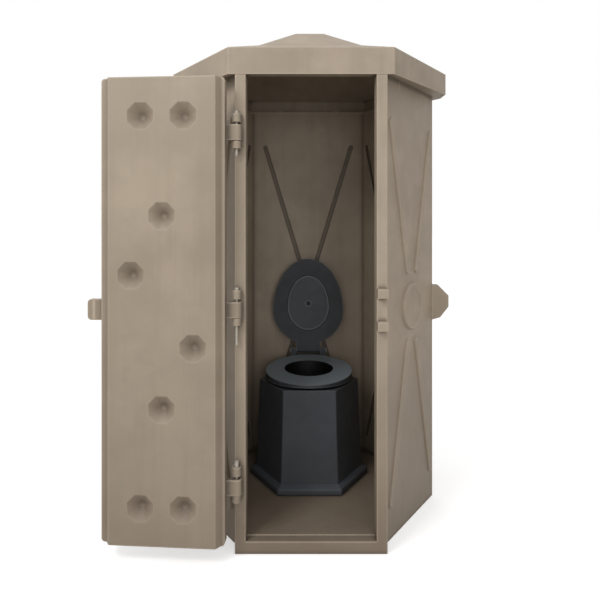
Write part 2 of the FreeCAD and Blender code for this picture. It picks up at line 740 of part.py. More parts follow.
DIMPLE_SIDES = 8
DIMPLES = [
    ("-dimple_pair", "dimple_first"),
    ("dimple_pair", "dimple_first"),
    ("0", "dimple_second"),
    ("dimple_side", "dimple_third"),
    ("-dimple_side", "dimple_fourth"),
    ("0", "dimple_fifth"),
    ("-dimple_pair", "dimple_sixth"),
    ("dimple_pair", "dimple_sixth"),
]


def dimple(name, aside, level):
    """An octagonal funnel sunk into the plug's face, with level flats at top and bottom."""
    upright = FreeCAD.Rotation(FreeCAD.Vector(1, 0, 0), 90)
    flat_up = upright * FreeCAD.Rotation(FreeCAD.Vector(0, 0, 1), 360 / DIMPLE_SIDES / 2)
    x = f"-{plug_middle} - ({aside})"
    mouth_y = f"-{plug_front}"
    sections = []
    for end, radius, y in (
        ("mouth", "dimple_radius", mouth_y),
        ("floor", "dimple_floor_radius", f"{mouth_y} + dimple_depth"),
    ):
        ring = regular(f"{name}_{end}", DIMPLE_SIDES, radius, (x, y, level))
        ring.Placement = FreeCAD.Placement(ring.Placement.Base, flat_up)
        sections.append(ring)
    return loft(name, *sections)


def door_knuckle(name, foot):
    eye = rod(f"{name}_eye", "knuckle_radius", ("0", "0", foot), "knuckle_height")
    arm = door_block(
        f"{name}_arm", "0", f"leaf_start + {arm_end}", "arm_offset", arm_end,
        foot, f"{foot} + knuckle_height")
    return [eye, arm]


def latch_tab():
    low = "tab_level - tab_height / 2"
    high = "tab_level + tab_height / 2"
    tab = door_block("latch_tab", f"{leaf_end} - {arm_end}", tab_end, "arm_offset", arm_end, low, high)
    end_x = value(f"-{tab_end}")
    middle_y = value("-arm_offset - knuckle_arm / 2")

    def outer_corner(point):
        return abs(point.x - end_x) < NEAR and abs(point.y - middle_y) < NEAR
    return rounded("latch_tab_round", tab, "tab_corner", outer_corner)


def leaf_plate():
    """The door's plain slab, with its four corners rounded as seen from the front."""
    slab = door_block("leaf", "leaf_start", leaf_end, leaf_back, leaf_front, "leaf_bottom", "leaf_top")
    middle_y = value(f"-({leaf_back} + {leaf_front}) / 2")

    def corner(point):
        return abs(point.y - middle_y) < NEAR
    return rounded("leaf_round", slab, "leaf_corner", corner)


def raised_plug():
    """The thick middle of the door's inner face, full height, with sloping sides."""
    face_end = "(plug_start + plug_width)"
    plan = [
        ("plug_start - plug_slope", leaf_front),
        ("plug_start", plug_front),
        (face_end, plug_front),
        (f"{face_end} + plug_slope", leaf_front),
    ]
    corners = [(f"-({out})", f"-{front}") for out, front in plan]
    return prism("leaf_plug", corners, "leaf_bottom", "leaf_top")


def door_leaf():
    shapes = [leaf_plate(), raised_plug(), latch_tab()]
    cuts = []
    for name, foot in hinge_feet.items():
        shapes += door_knuckle(f"{name}_knuckle", foot)
        cuts.append(rod(f"{name}_knuckle_bore", pin_bore, ("0", "0", foot), "knuckle_height"))
    latch_hole = ("-hinge_side - latch_side", "-arm_offset - knuckle_arm / 2", "tab_level - tab_height / 2")
    cuts.append(rod("latch_hole", "latch_radius", latch_hole, "tab_height"))
    for number, (aside, level) in enumerate(DIMPLES, start=1):
        cuts.append(dimple(f"dimple_{number}", aside, level))
    door = cut("door_cut", fuse("door_solid", *shapes), *cuts)
    place(door, (hinge_x, hinge_y, "0"), angle="-door_swing")
    piece("door_leaf", door)


def hinge_pins():
    for name, foot in hinge_feet.items():
        head = "pin_low_head" if name == "lower" else "pin_head"
        start = f"{lower_boss_foot(foot)} - pin_{name}_tail"
        stop = f"{upper_boss_foot(foot)} + upper_boss"
        shaft = rod(f"{name}_pin_shaft", "pin_radius", (hinge_x, hinge_y, start), f"{stop} - ({start})")
        cap = rod(f"{name}_pin_head", "pin_head_radius", (hinge_x, hinge_y, stop), head)
        piece(f"{name}_hinge_pin", fuse(f"{name}_pin", shaft, cap))


# Pedestal, chute, seat and lid

flange_top = "(floor_top + flange_rise)"
skirt_top = f"({flange_top} + skirt_rise)"
inner_step = "(pedestal_wall / cos(30))"
throat_radius = "(chute_radius + chute_play)"


def hexagon(name, radius, level):
    return regular(name, 6, radius, ("0", "pedestal_back", level))


def pedestal():
    rim = extrusion("pedestal_rim", hexagon("rim_line", "flange_radius", "floor_top"), "flange_rise")
    skirt = loft(
        "pedestal_skirt", hexagon("skirt_line", "flange_radius", flange_top),
        hexagon("foot_line", "foot_radius", skirt_top))
    trunk = loft(
        "pedestal_trunk", hexagon("trunk_line", "foot_radius", skirt_top),
        hexagon("crown_line", "crown_radius", "pedestal_top"))
    hollow = loft(
        "pedestal_hollow", hexagon("hollow_foot", f"foot_radius - {inner_step}", "floor_top"),
        hexagon("hollow_crown", f"crown_radius - {inner_step}", "pedestal_top - pedestal_wall"))
    throat = rod(
        "pedestal_throat", throat_radius, ("0", "pedestal_back", "pedestal_top - pedestal_wall"),
        "pedestal_wall")
    piece("pedestal", cut("pedestal_shell", fuse("pedestal_solid", rim, skirt, trunk), hollow, throat))


def drop_chute():
    axis = ("0", "pedestal_back")
    rim_top = "(pedestal_top + chute_wall)"
    tube = rod("chute_tube", "chute_radius", (*axis, "chute_foot"), f"{rim_top} - chute_foot")
    rim = rod("chute_rim_disc", "chute_radius + chute_rim", (*axis, "pedestal_top"), "chute_wall")
    bore = rod("chute_bore", "chute_radius - chute_wall", (*axis, "chute_foot"), f"{rim_top} - chute_foot")
    piece("drop_chute", cut("chute_shell", fuse("chute_solid", tube, rim), bore))


seat_bottom = "(pedestal_top + seat_lift)"
seat_front = "(seat_middle - seat_half_length)"
seat_front_top = f"({seat_bottom} + seat_front_thick)"
lid_rest = "(lid_thick / 2 + lid_plug_height + lid_gap)"
seat_top_at_lid = f"({seat_front_top} + tan(seat_rake) * (lid_back - {seat_front}))"
lid_level = f"({seat_top_at_lid} + {lid_rest} / cos(seat_rake))"
ear_start = "(neck_half + neck_gap)"


def hinge_ear(side):
    first, last = (ear_start, f"({ear_start} + ear_width)")
    low, high = (first, last) if side == "+" else (f"-{last}", f"-{first}")
    eye = rod_across(f"ear_eye{side}", "ear_radius", (low, "lid_back", lid_level), "ear_width")
    web = block(
        f"ear_web{side}", (low, "lid_back - ear_radius", seat_bottom),
        (high, "lid_back + ear_radius", lid_level))
    return [eye, web]


def seat_ring():
    """An oval ring, thicker at the back, with two ears for the lid's hinge pin."""
    raw_top = f"({lid_level} + ear_radius)"
    plate = oval(
        "seat_plate", "seat_half_width", "seat_half_length", "seat_half_length", "seat_middle",
        seat_bottom, raw_top)
    heel = block(
        "seat_heel", (f"-({ear_start} + ear_width)", "seat_middle", seat_bottom),
        (f"{ear_start} + ear_width", "lid_back + ear_radius", raw_top))
    over = block("seat_over", ("-seat_half_width * 2", "0", "0"),
                 ("seat_half_width * 2", "seat_half_length * 4", "seat_half_length"))
    start_y = f"{seat_front} - seat_half_length"
    start_z = f"{seat_front_top} - tan(seat_rake) * seat_half_length"
    place(over, ("-seat_half_width * 2", start_y, start_z), axis=(1, 0, 0), angle="seat_rake")
    hole = oval(
        "seat_hole", "hole_half_width", "hole_half_length", "hole_half_length", "pedestal_back",
        seat_bottom, raw_top)
    ring = cut("seat_wedge", fuse("seat_solid", plate, heel), over, hole)
    bore = rod_across(
        "seat_bore", "pin_radius + pin_clearance",
        (f"-({ear_start} + ear_width)", "lid_back", lid_level), f"2 * ({ear_start} + ear_width)")
    piece("seat_ring", cut("seat_cut", fuse("seat_eared", ring, *hinge_ear("-"), *hinge_ear("+")), bore))


def seat_buffers():
    pads = []
    for across in ("-buffer_spread", "buffer_spread"):
        for along in ("pedestal_back - buffer_spread", "pedestal_back + buffer_spread"):
            pads.append(rod("seat_buffer", "buffer_radius", (across, along, "pedestal_top"), "seat_lift"))
    piece("seat_buffers", group("buffer_set", *pads))


def lid_hinge_pin():
    end = f"({ear_start} + ear_width)"
    shaft = rod_across("lid_pin_shaft", "pin_radius", (f"-{end}", "lid_back", lid_level), f"2 * {end}")
    heads = []
    for side, start in (("-", f"-{end} - screw_head_height"), ("+", end)):
        heads.append(rod_across(
            f"lid_pin_head{side}", "pin_head_radius", (start, "lid_back", lid_level), "screw_head_height"))
    piece("lid_hinge_pin", fuse("lid_pin", shaft, *heads))


def stand_lid(thing):
    place(thing, ("0", "lid_back", lid_level), axis=(1, 0, 0), angle="90 - lid_lean")


plug_face = "(lid_thick / 2 + lid_plug_height)"
screw_seat = f"({plug_face} - recess_depth)"


def lid():
    """The lid lies flat here, hinge axis along X through the origin, underside up, and is then stood open."""
    plate = oval(
        "lid_plate", "lid_half_width", "lid_far", "lid_near", "lid_middle", "-lid_thick / 2", "lid_thick / 2")
    neck = block(
        "lid_neck", ("-neck_half", "0", "-lid_thick / 2"), ("neck_half", "lid_middle", "lid_thick / 2"))
    eye = rod_across("lid_eye", "lid_thick / 2", ("-neck_half", "0", "0"), "2 * neck_half")
    bore = rod_across("lid_bore", "pin_radius + pin_clearance", ("-neck_half", "0", "0"), "2 * neck_half")
    screw_hole = rod(
        "lid_screw_hole", "plug_screw_radius", ("0", "plug_screw_middle", "lid_thick / 2 - plug_screw_grip"),
        "plug_screw_grip")
    whole = cut("lid_cut", fuse("lid_solid", plate, neck, eye), bore, screw_hole)
    stand_lid(whole)
    piece("lid", whole)


def lid_plug():
    plate = oval(
        "plug_plate", "lid_plug_half_width", "lid_plug_far", "lid_plug_near", "lid_plug_middle",
        "lid_thick / 2", plug_face)
    recess = rod("plug_recess", "recess_radius", ("0", "plug_screw_middle", screw_seat), "recess_depth")
    hole = rod("plug_hole", "plug_screw_radius", ("0", "plug_screw_middle", "lid_thick / 2"), "lid_plug_height")
    whole = cut("plug_cut", plate, recess, hole)
    stand_lid(whole)
    piece("lid_plug", whole)


def lid_plug_screw():
    shank = rod(
        "plug_screw_shank", "plug_screw_radius", ("0", "plug_screw_middle", "lid_thick / 2 - plug_screw_grip"),
        f"{screw_seat} - lid_thick / 2 + plug_screw_grip")
    head = rod("plug_screw_cap", "plug_screw_head", ("0", "plug_screw_middle", screw_seat), "screw_head_height")
    whole = fuse("plug_screw", shank, head)
    stand_lid(whole)
    piece("lid_plug_screw", whole)


floor_base()
wall_panels()
left_jamb()
right_jamb()
sill_and_header()
roof()
roof_screws()
corner_lug("left_corner_lug", "-")
corner_lug("right_corner_lug", "")
door_leaf()
hinge_pins()
pedestal()
drop_chute()
seat_ring()
seat_buffers()
lid_hinge_pin()
lid()
lid_plug()
lid_plug_screw()
doc.recompute()

# Nothing is written unless every object and every piece is sound
for thing in doc.Objects:
    if "Invalid" in thing.State or "Error" in thing.State:
        raise RuntimeError(f"{thing.Name} failed: {thing.State}")
for thing in pieces:
    if thing.Shape.isNull() or not thing.Shape.isValid() or not thing.Shape.Solids:
        raise RuntimeError(f"{thing.Label} has no valid solid")

os.makedirs("parts", exist_ok=True)
for thing in pieces:
    thing.Shape.exportStep(f"parts/{thing.Label}.step")
    print(f"{thing.Label}: {len(thing.Shape.Solids)} solids, {thing.Shape.Volume / 1000:.1f} cm3")
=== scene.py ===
import json
import math

import bmesh
import bpy
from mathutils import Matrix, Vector
from mathutils.kdtree import KDTree


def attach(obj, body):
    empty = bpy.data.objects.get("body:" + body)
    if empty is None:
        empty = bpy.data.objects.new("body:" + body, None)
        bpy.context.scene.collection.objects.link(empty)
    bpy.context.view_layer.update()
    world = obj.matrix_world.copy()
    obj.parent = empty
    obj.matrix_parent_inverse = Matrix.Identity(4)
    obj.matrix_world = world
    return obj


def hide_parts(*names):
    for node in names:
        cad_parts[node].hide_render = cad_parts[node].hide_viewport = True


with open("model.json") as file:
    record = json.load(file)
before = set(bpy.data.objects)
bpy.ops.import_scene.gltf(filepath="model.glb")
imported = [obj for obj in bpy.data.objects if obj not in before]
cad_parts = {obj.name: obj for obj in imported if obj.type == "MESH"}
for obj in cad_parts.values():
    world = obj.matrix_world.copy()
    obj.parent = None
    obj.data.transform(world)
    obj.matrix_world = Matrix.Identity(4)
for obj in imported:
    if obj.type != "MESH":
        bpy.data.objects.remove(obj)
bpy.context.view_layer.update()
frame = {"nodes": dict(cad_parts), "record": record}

# Pit toilet: how the moulded cabin, its door and its pedestal look. Metres, in the frame of the CAD.

REAR_PANELS = ("back_panel", "rear_left_panel", "rear_right_panel")
FLANK_PANELS = ("front_left_panel", "front_right_panel")
CORNER_LUGS = ("left_corner_lug", "right_corner_lug")


# Mouldings: copies of the CAD pieces with the soft edges that a rotating mould gives

# The jambs and the sill are shown as one smooth frame without seams
FRAME_NODES = ("left_jamb", "right_jamb", "door_sill")
FRAME_RADIUS = 0.0035

# How widely the outer edges of the other mouldings are rounded where there is room. The pieces that
# aren't named here or above keep their CAD mesh.
EDGE_RADIUS = {
    **dict.fromkeys(REAR_PANELS + FLANK_PANELS, 0.001),
    **dict.fromkeys(CORNER_LUGS, 0.002),
    "door_header": 0.003,
    "floor_base": 0.003,
    "door_leaf": 0.0007,
    "pedestal": 0.005,
    "drop_chute": 0.0012,
    "seat_ring": 0.001,
    "lid": 0.0008,
    "lid_plug": 0.002,
}
EDGE_STEPS = 3

# Points closer than WELD become one point, and edges under SHORTEST are taken out
WELD = 0.00002
SHORTEST = 0.00005

# Faces that meet at less than FLAT become one face. Edges are sharp over SHARP, and those that
# aren't rounded are creased over INNER_SHARP.
FLAT = math.radians(0.6)
SHARP = math.radians(28)
INNER_SHARP = math.radians(50)

# A rounding takes ROUND_SHARE of the room beside its edge, up to its radius. An edge that gets less
# than LEAST_SHARE of the radius counts as not rounded.
ROUND_SHARE = 0.4
LEAST_SHARE = 0.05

# Sharp edges that turn by less than SAME_LINE run on in one line, which is straight under STRAIGHT.
# Points are taken along it at most SAMPLE_STEP apart.
SAME_LINE = math.radians(35)
STRAIGHT = math.radians(0.5)
SAMPLE_STEP = 0.003

# How much large faces outweigh small ones where they share a corner, of 100 at most
FACE_WEIGHT = 100


def linked(thing):
    """Puts a new object into the scene."""
    bpy.context.scene.collection.objects.link(thing)
    return thing


def made_of(mesh, name):
    """A new object in the scene, made of a working mesh that is then freed."""
    data = bpy.data.meshes.new(name)
    mesh.to_mesh(data)
    mesh.free()
    return linked(bpy.data.objects.new(name, data))


def body_of_node(node):
    bodies = frame["record"]["behaviour"]["bodies"]
    return next(body for body, nodes in bodies.items() if node in nodes)


def slot_of_node(node):
    return next(part["material_slot"] for part in frame["record"]["subparts"] if part["node"] == node)


def bend(edge, other, corner):
    """The turn from one edge into the next at the corner that they share."""
    inward = corner.co - edge.other_vert(corner).co
    onward = other.other_vert(corner).co - corner.co
    return inward.angle(onward)


def neighbours(edge):
    """The edges that share a corner with an edge, each with the turn into it."""
    for corner in edge.verts:
        for other in corner.link_edges:
            if other is not edge:
                yield other, bend(edge, other, corner)


def lines_of(edges):
    """Numbers the lines in which the edges run on from each other."""
    line = {edge: None for edge in edges}
    for number, start in enumerate(edges):
        waiting = [start] if line[start] is None else []
        while waiting:
            edge = waiting.pop()
            line[edge] = number
            waiting += [
                other for other, turn in neighbours(edge)
                if turn < SAME_LINE and other in line and line[other] is None]
    return line


def sampled(line):
    """Points along all the edges, to be searched by place, and the line of each point."""
    points = []
    for edge, number in line.items():
        first, last = (corner.co for corner in edge.verts)
        steps = math.ceil(edge.calc_length() / SAMPLE_STEP)
        points += [(first.lerp(last, step / steps), number) for step in range(steps + 1)]
    tree = KDTree(len(points))
    for index, (point, number) in enumerate(points):
        tree.insert(point, index)
    tree.balance()
    return tree, [number for point, number in points]


def room(edge, line, tree, numbers, reach):
    """How far from an edge the next line lies, or the middle of its own curve, up to the reach."""
    middle = (edge.verts[0].co + edge.verts[1].co) / 2
    spans = [gap for point, index, gap in tree.find_range(middle, reach) if numbers[index] != line[edge]]
    for other, turn in neighbours(edge):
        if line.get(other) != line[edge]:
            spans.append(other.calc_length())
        elif turn > STRAIGHT:
            spans.append((edge.calc_length() + other.calc_length()) / 2 / turn)
    return min(spans + [reach])


def mark_roundings(mesh, radius):
    """Gives each sharp outer edge the share of the radius for which it has room.

    The sharpest of the edges that aren't rounded are creased.
    """
    share = mesh.edges.layers.float.new("bevel_weight_edge")
    sharp = [edge for edge in mesh.edges if edge.is_manifold and edge.calc_face_angle(0) > SHARP]
    line = lines_of(sharp)
    tree, numbers = sampled(line)
    reach = radius / ROUND_SHARE
    for edge in sharp:
        if edge.is_convex:
            edge[share] = room(edge, line, tree, numbers, reach) / reach
        if edge[share] < LEAST_SHARE and edge.calc_face_angle(0) > INNER_SHARP:
            edge.smooth = False


def cleaned(source):
    """The CAD mesh with its doubled points welded and its flat faces whole."""
    mesh = bmesh.new()
    mesh.from_mesh(source)
    bmesh.ops.remove_doubles(mesh, verts=mesh.verts, dist=WELD)
    bmesh.ops.dissolve_limit(mesh, angle_limit=FLAT, verts=mesh.verts, edges=mesh.edges)
    bmesh.ops.dissolve_degenerate(mesh, dist=SHORTEST, edges=mesh.edges)
    return mesh


def soft(edge):
    """Whether the faces at an edge run into each other, as in a curve or a shallow dish."""
    return FLAT < edge.calc_face_angle(0) < (SHARP if edge.is_convex else INNER_SHARP)


def moulding(name, source, radius, nodes):
    """A mesh with its sharp edges rounded, which takes the place of one or more CAD pieces."""
    mesh = cleaned(source)
    for face in mesh.faces:
        face.smooth = any(soft(edge) for edge in face.edges)
    mark_roundings(mesh, radius)
    piece = made_of(mesh, name)
    rounding = piece.modifiers.new("soft edges", "BEVEL")
    rounding.width = radius
    rounding.segments = EDGE_STEPS
    rounding.limit_method = "WEIGHT"
    rounding.use_clamp_overlap = False
    rounding.loop_slide = False
    rounding.mark_sharp = True
    weighted = piece.modifiers.new("flat faces stay flat", "WEIGHTED_NORMAL")
    weighted.weight = FACE_WEIGHT
    weighted.keep_sharp = True
    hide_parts(*nodes)
    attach(piece, body_of_node(nodes[0]))
    slot_of_node(nodes[0])
    return piece


def united(nodes):
    """The CAD pieces of several nodes grown together into one mesh."""
    copies = [made_of(cleaned(frame["nodes"][node].data), f"{node}_copy") for node in nodes]
    whole = copies[0]
    for other in copies[1:]:
        union = whole.modifiers.new(other.name, "BOOLEAN")
        union.operation = "UNION"
        union.solver = "EXACT"
        union.object = other
    graph = bpy.context.evaluated_depsgraph_get()
    result = bpy.data.meshes.new_from_object(whole.evaluated_get(graph))
    for copy in copies:
        bpy.data.objects.remove(copy)
    return result


# Materials, built from nodes

# The numbers of a colour mix's sockets
MIX_SHARE = 0
MIX_FIRST = 6
MIX_SECOND = 7
MIX_RESULT = 2

# How many rays feel for the edges and corners around a point
FEELERS = 8

# The open share of the view from a point where painted shade in corners begins, and where it is darkest
CORNER_SHADE = (0.86, 0.52)

# The clear share of the view into the solid where an outer edge begins to pale with wear and painted
# highlight, and where it is palest
SCUFF_AND_HIGHLIGHT = (0.97, 0.72)

# The part of its reach over which a place has its full effect
FULL_PART = 0.95

# How far ahead of a face a place lies when the face begins to look towards it, and when it fully does
LOOKING = (0.005, 0.02)


class Recipe:
    """The node tree of a material or a world, with a short way to add a node and join it to others."""

    def __init__(self, owner):
        owner.use_nodes = True
        self.owner = owner
        self.tree = owner.node_tree
        self.tree.nodes.clear()
        self.place = self.add("TexCoord").outputs["Object"]

    def add(self, kind, sockets=None, **settings):
        """A new node, with its sockets set to plain values or joined to other nodes' outputs."""
        node = self.tree.nodes.new(f"ShaderNode{kind}")
        for name, setting in settings.items():
            setattr(node, name, setting)
        for socket, source in (sockets or {}).items():
            if isinstance(source, bpy.types.NodeSocket):
                self.tree.links.new(source, node.inputs[socket])
            else:
                node.inputs[socket].default_value = source
        return node

    def noise(self, scale, detail, roughness=0.5, stretch=None):
        """Clouds from nought to one. Stretch gives each axis a scale of its own first."""
        where = self.place
        if stretch:
            where = self.add("Mapping", {"Vector": where, "Scale": stretch}).outputs["Vector"]
        texture = self.add("TexNoise", {
            "Vector": where, "Scale": scale, "Detail": detail, "Roughness": roughness})
        return texture.outputs["Fac"]

    def span(self, source, low, high, first=0.0, last=1.0):
        """The source's values from low to high, spread over first to last."""
        spread = self.add("MapRange", {
            "Value": source, "From Min": low, "From Max": high, "To Min": first, "To Max": last})
        return spread.outputs["Result"]

    def combine(self, kind, first, second):
        """The sum, the larger or the smaller of two values."""
        return self.add("Math", {0: first, 1: second}, operation=kind).outputs["Value"]

    def mix(self, share, first, second):
        """The first colour, with a share of the second."""
        sockets = {MIX_SHARE: share, MIX_FIRST: first, MIX_SECOND: second}
        return self.add("Mix", sockets, data_type="RGBA").outputs[MIX_RESULT]

    def bump(self, height, distance, strength, under=None):
        """The surface's direction, made uneven over the direction under it."""
        sockets = {"Height": height, "Distance": distance, "Strength": strength}
        if under is not None:
            sockets["Normal"] = under
        return self.add("Bump", sockets).outputs["Normal"]

    def rounded(self, radius):
        """The surface's direction, eased round every corner."""
        return self.add("Bevel", {"Radius": radius}, samples=FEELERS).outputs["Normal"]

    def edge_mask(self, distance, limits, strength):
        """The strength along outer edges, nought on flat faces."""
        thick = self.add("AmbientOcclusion", {"Distance": distance}, samples=FEELERS, inside=True)
        return self.span(thick.outputs["AO"], *limits, last=strength)

    def crevice_mask(self, distance, limits, strength):
        """The strength deep in corners, nought in the open."""
        clear = self.add("AmbientOcclusion", {"Distance": distance}, samples=FEELERS)
        return self.span(clear.outputs["AO"], *limits, last=strength)

    def near(self, centre, reach):
        """One within reach of a place, nought beyond."""
        gap = self.add("VectorMath", {0: self.place, 1: centre}, operation="DISTANCE").outputs["Value"]
        return self.span(gap, reach, FULL_PART * reach)

    def inward(self, centre):
        """One on faces that look towards a place, nought on the others."""
        way = self.add("VectorMath", {0: centre, 1: self.place}, operation="SUBTRACT").outputs["Vector"]
        ahead = self.add("VectorMath", {0: way, 1: self.facing()}, operation="DOT_PRODUCT").outputs["Value"]
        return self.span(ahead, *LOOKING)

    def facing(self):
        """The direction in which the surface looks."""
        return self.add("NewGeometry").outputs["Normal"]

    def upright(self, vector):
        """The upward part of a place or a direction."""
        return self.add("SeparateXYZ", {"Vector": vector}).outputs["Z"]

    def seen(self):
        """One for what the camera sees, also in a gloss or through glass, nought for light on its way."""
        path = self.add("LightPath").outputs
        straight = self.combine("MAXIMUM", path["Is Camera Ray"], path["Is Glossy Ray"])
        return self.combine("MAXIMUM", straight, path["Is Transmission Ray"])

    def finish(self, sockets):
        """The finished material, with the sockets of its one shader filled."""
        shader = self.add("BsdfPrincipled", sockets)
        self.add("OutputMaterial", {"Surface": shader.outputs["BSDF"]})
        return self.owner


def colour(red, green, blue):
    return (red, green, blue, 1.0)


TAUPE_DEEP = colour(0.308, 0.250, 0.187)
TAUPE_PALE = colour(0.386, 0.314, 0.240)
TAUPE_PATCH = colour(0.292, 0.258, 0.196)
TAUPE_RUN = colour(0.265, 0.203, 0.145)
TAUPE_GRAIN = colour(0.44, 0.37, 0.29)
TAUPE_FOOT_SHADE = colour(0.125, 0.094, 0.066)
TAUPE_CORNER_SHADE = colour(0.085, 0.064, 0.046)
TAUPE_SCUFF_AND_HIGHLIGHT = colour(0.56, 0.47, 0.37)

# Painted shade at the foot is darkest up to this height, and its upper border wavers by so much either way
FOOT_SHADE_FULL = 0.02
FOOT_SHADE_WAVER = 0.06


def taupe_plastic(name, foot_shade=0.65, reach=0.75, easing=0.004,
                  rim=0.006, scuff_and_highlight=SCUFF_AND_HIGHLIGHT, hollow=0.03, corner_shade=CORNER_SHADE):
    """Rotomoulded polyethylene: cloudy and grainy, with faint runs, paler edges that are partly wear and
    partly painted highlight, and painted shade in its corners.

    Painted shade darkens it from its foot up to the reach. Easing is how widely its corners are softened,
    rim how wide the pale edges are, and hollow how wide the painted shade in its corners is.
    """
    recipe = Recipe(bpy.data.materials.new(name))
    clouds = recipe.noise(scale=2.6, detail=4, roughness=0.55)
    patches = recipe.noise(scale=11, detail=5, roughness=0.6)
    runs = recipe.noise(scale=1.0, detail=4, roughness=0.6, stretch=(22, 22, 1.1))
    grain = recipe.noise(scale=520, detail=2)
    peel = recipe.noise(scale=95, detail=2)
    waves = recipe.noise(scale=4.5, detail=1, roughness=0.4)
    waver = recipe.span(patches, 0.3, 0.7, -FOOT_SHADE_WAVER, FOOT_SHADE_WAVER)
    ragged = recipe.combine("ADD", recipe.upright(recipe.place), waver)

    base = recipe.mix(recipe.span(clouds, 0.38, 0.62), TAUPE_DEEP, TAUPE_PALE)
    base = recipe.mix(recipe.span(patches, 0.48, 0.72, last=0.55), base, TAUPE_PATCH)
    base = recipe.mix(recipe.span(runs, 0.50, 0.78, last=0.40), base, TAUPE_RUN)
    base = recipe.mix(recipe.span(grain, 0.35, 0.7, last=0.16), base, TAUPE_GRAIN)
    # Painted shade, darker towards the foot
    base = recipe.mix(recipe.span(ragged, FOOT_SHADE_FULL, reach, first=foot_shade, last=0), base, TAUPE_FOOT_SHADE)
    # Painted shade in corners and recesses
    base = recipe.mix(recipe.crevice_mask(hollow, corner_shade, strength=0.75), base, TAUPE_CORNER_SHADE)
    # Paler edges: partly wear, partly painted highlight
    base = recipe.mix(recipe.edge_mask(rim, scuff_and_highlight, strength=0.45), base, TAUPE_SCUFF_AND_HIGHLIGHT)

    broad = recipe.span(patches, 0.3, 0.7, 0.50, 0.60)
    fine = recipe.span(grain, 0.3, 0.7, -0.03, 0.05)
    normal = recipe.bump(waves, distance=0.006, strength=0.5, under=recipe.rounded(easing))
    normal = recipe.bump(peel, distance=0.0009, strength=0.35, under=normal)
    normal = recipe.bump(grain, distance=0.0003, strength=0.5, under=normal)
    return recipe.finish({
        "Base Color": base, "Roughness": recipe.combine("ADD", broad, fine), "Normal": normal,
        "Specular IOR Level": 0.35})


CHARCOAL_DEEP = (0.021, 0.023, 0.026)
CHARCOAL_PALE = (0.026, 0.028, 0.032)
CHARCOAL_DUST = colour(0.070, 0.074, 0.078)
CHARCOAL_TOP_SHEEN = colour(0.30, 0.35, 0.39)
CHARCOAL_GRAIN = colour(0.08, 0.085, 0.09)
CHARCOAL_CORNER_SHADE = colour(0.003, 0.003, 0.004)
CHARCOAL_SCUFF_AND_HIGHLIGHT = colour(0.20, 0.21, 0.22)
CHARCOAL_HOLLOW = 0.016
CHARCOAL_EASING = 0.003
HOLE_SHADE_BLACK = colour(0.002, 0.002, 0.0025)

# Where the seat's hole and the plug's recess lie, and how far they reach. Inside them the charcoal is
# painted black as shade.
SEAT_HOLE = ((0.0, 0.118, 0.565), 0.160)
PLUG_RECESS = ((0.0, 0.337, 0.888), 0.0135)


def in_seat_hole(recipe):
    """One on the faces that look into the seat's hole, nought on the others."""
    centre, reach = SEAT_HOLE
    return recipe.combine("MINIMUM", recipe.near(centre, reach), recipe.inward(centre))


def in_plug_recess(recipe):
    """One in the recess of the lid's plug, nought beyond."""
    return recipe.near(*PLUG_RECESS)


def toned(shade, tone):
    return colour(*(part * tone for part in shade))


def charcoal_plastic(name, tone, paling=0.0, rim=0.6, rim_width=0.004, black_shade=None):
    """Dark satin polyethylene with a fine pebble grain, a painted sheen on upward faces, and paler edges
    that are partly scuffs and partly painted highlight.

    Black shade, where given, marks a place in it that is painted black as shade.
    """
    recipe = Recipe(bpy.data.materials.new(name))
    clouds = recipe.noise(scale=6, detail=4, roughness=0.55)
    dust = recipe.noise(scale=28, detail=6, roughness=0.65)
    grain = recipe.noise(scale=640, detail=2)
    pebble = recipe.noise(scale=170, detail=2)
    up = recipe.upright(recipe.facing())

    deep = toned(CHARCOAL_DEEP, tone)
    pale = toned(CHARCOAL_PALE, tone)
    base = recipe.mix(recipe.span(clouds, 0.35, 0.66), deep, pale)
    base = recipe.mix(recipe.span(dust, 0.58, 0.85, last=0.15), base, CHARCOAL_DUST)
    # Painted sheen: upward faces paler and bluer
    base = recipe.mix(recipe.span(up, 0.55, 0.95, last=paling), base, CHARCOAL_TOP_SHEEN)
    base = recipe.mix(recipe.span(grain, 0.4, 0.7, last=0.08), base, CHARCOAL_GRAIN)
    # Painted shade in corners and recesses
    base = recipe.mix(recipe.crevice_mask(CHARCOAL_HOLLOW, CORNER_SHADE, strength=0.85), base, CHARCOAL_CORNER_SHADE)
    # Paler edges: partly wear, partly painted highlight
    base = recipe.mix(recipe.edge_mask(rim_width, SCUFF_AND_HIGHLIGHT, strength=rim), base, CHARCOAL_SCUFF_AND_HIGHLIGHT)
    # Painted shade: a black place where shadow falls
    if black_shade:
        base = recipe.mix(black_shade(recipe), base, HOLE_SHADE_BLACK)

    broad = recipe.span(dust, 0.3, 0.75, 0.48, 0.62)
    fine = recipe.span(grain, 0.3, 0.7, -0.03, 0.04)
    normal = recipe.bump(clouds, distance=0.003, strength=0.3, under=recipe.rounded(CHARCOAL_EASING))
    normal = recipe.bump(pebble, distance=0.0006, strength=0.35, under=normal)
    normal = recipe.bump(grain, distance=0.0002, strength=0.5, under=normal)
    return recipe.finish({
        "Base Color": base, "Roughness": recipe.combine("ADD", broad, fine), "Normal": normal,
        "Specular IOR Level": 0.28})


ZINC_DEEP = colour(0.36, 0.33, 0.28)
ZINC_PALE = colour(0.47, 0.43, 0.37)
ZINC_STAIN = colour(0.22, 0.16, 0.11)
CRYSTAL_SCALE = 260.0


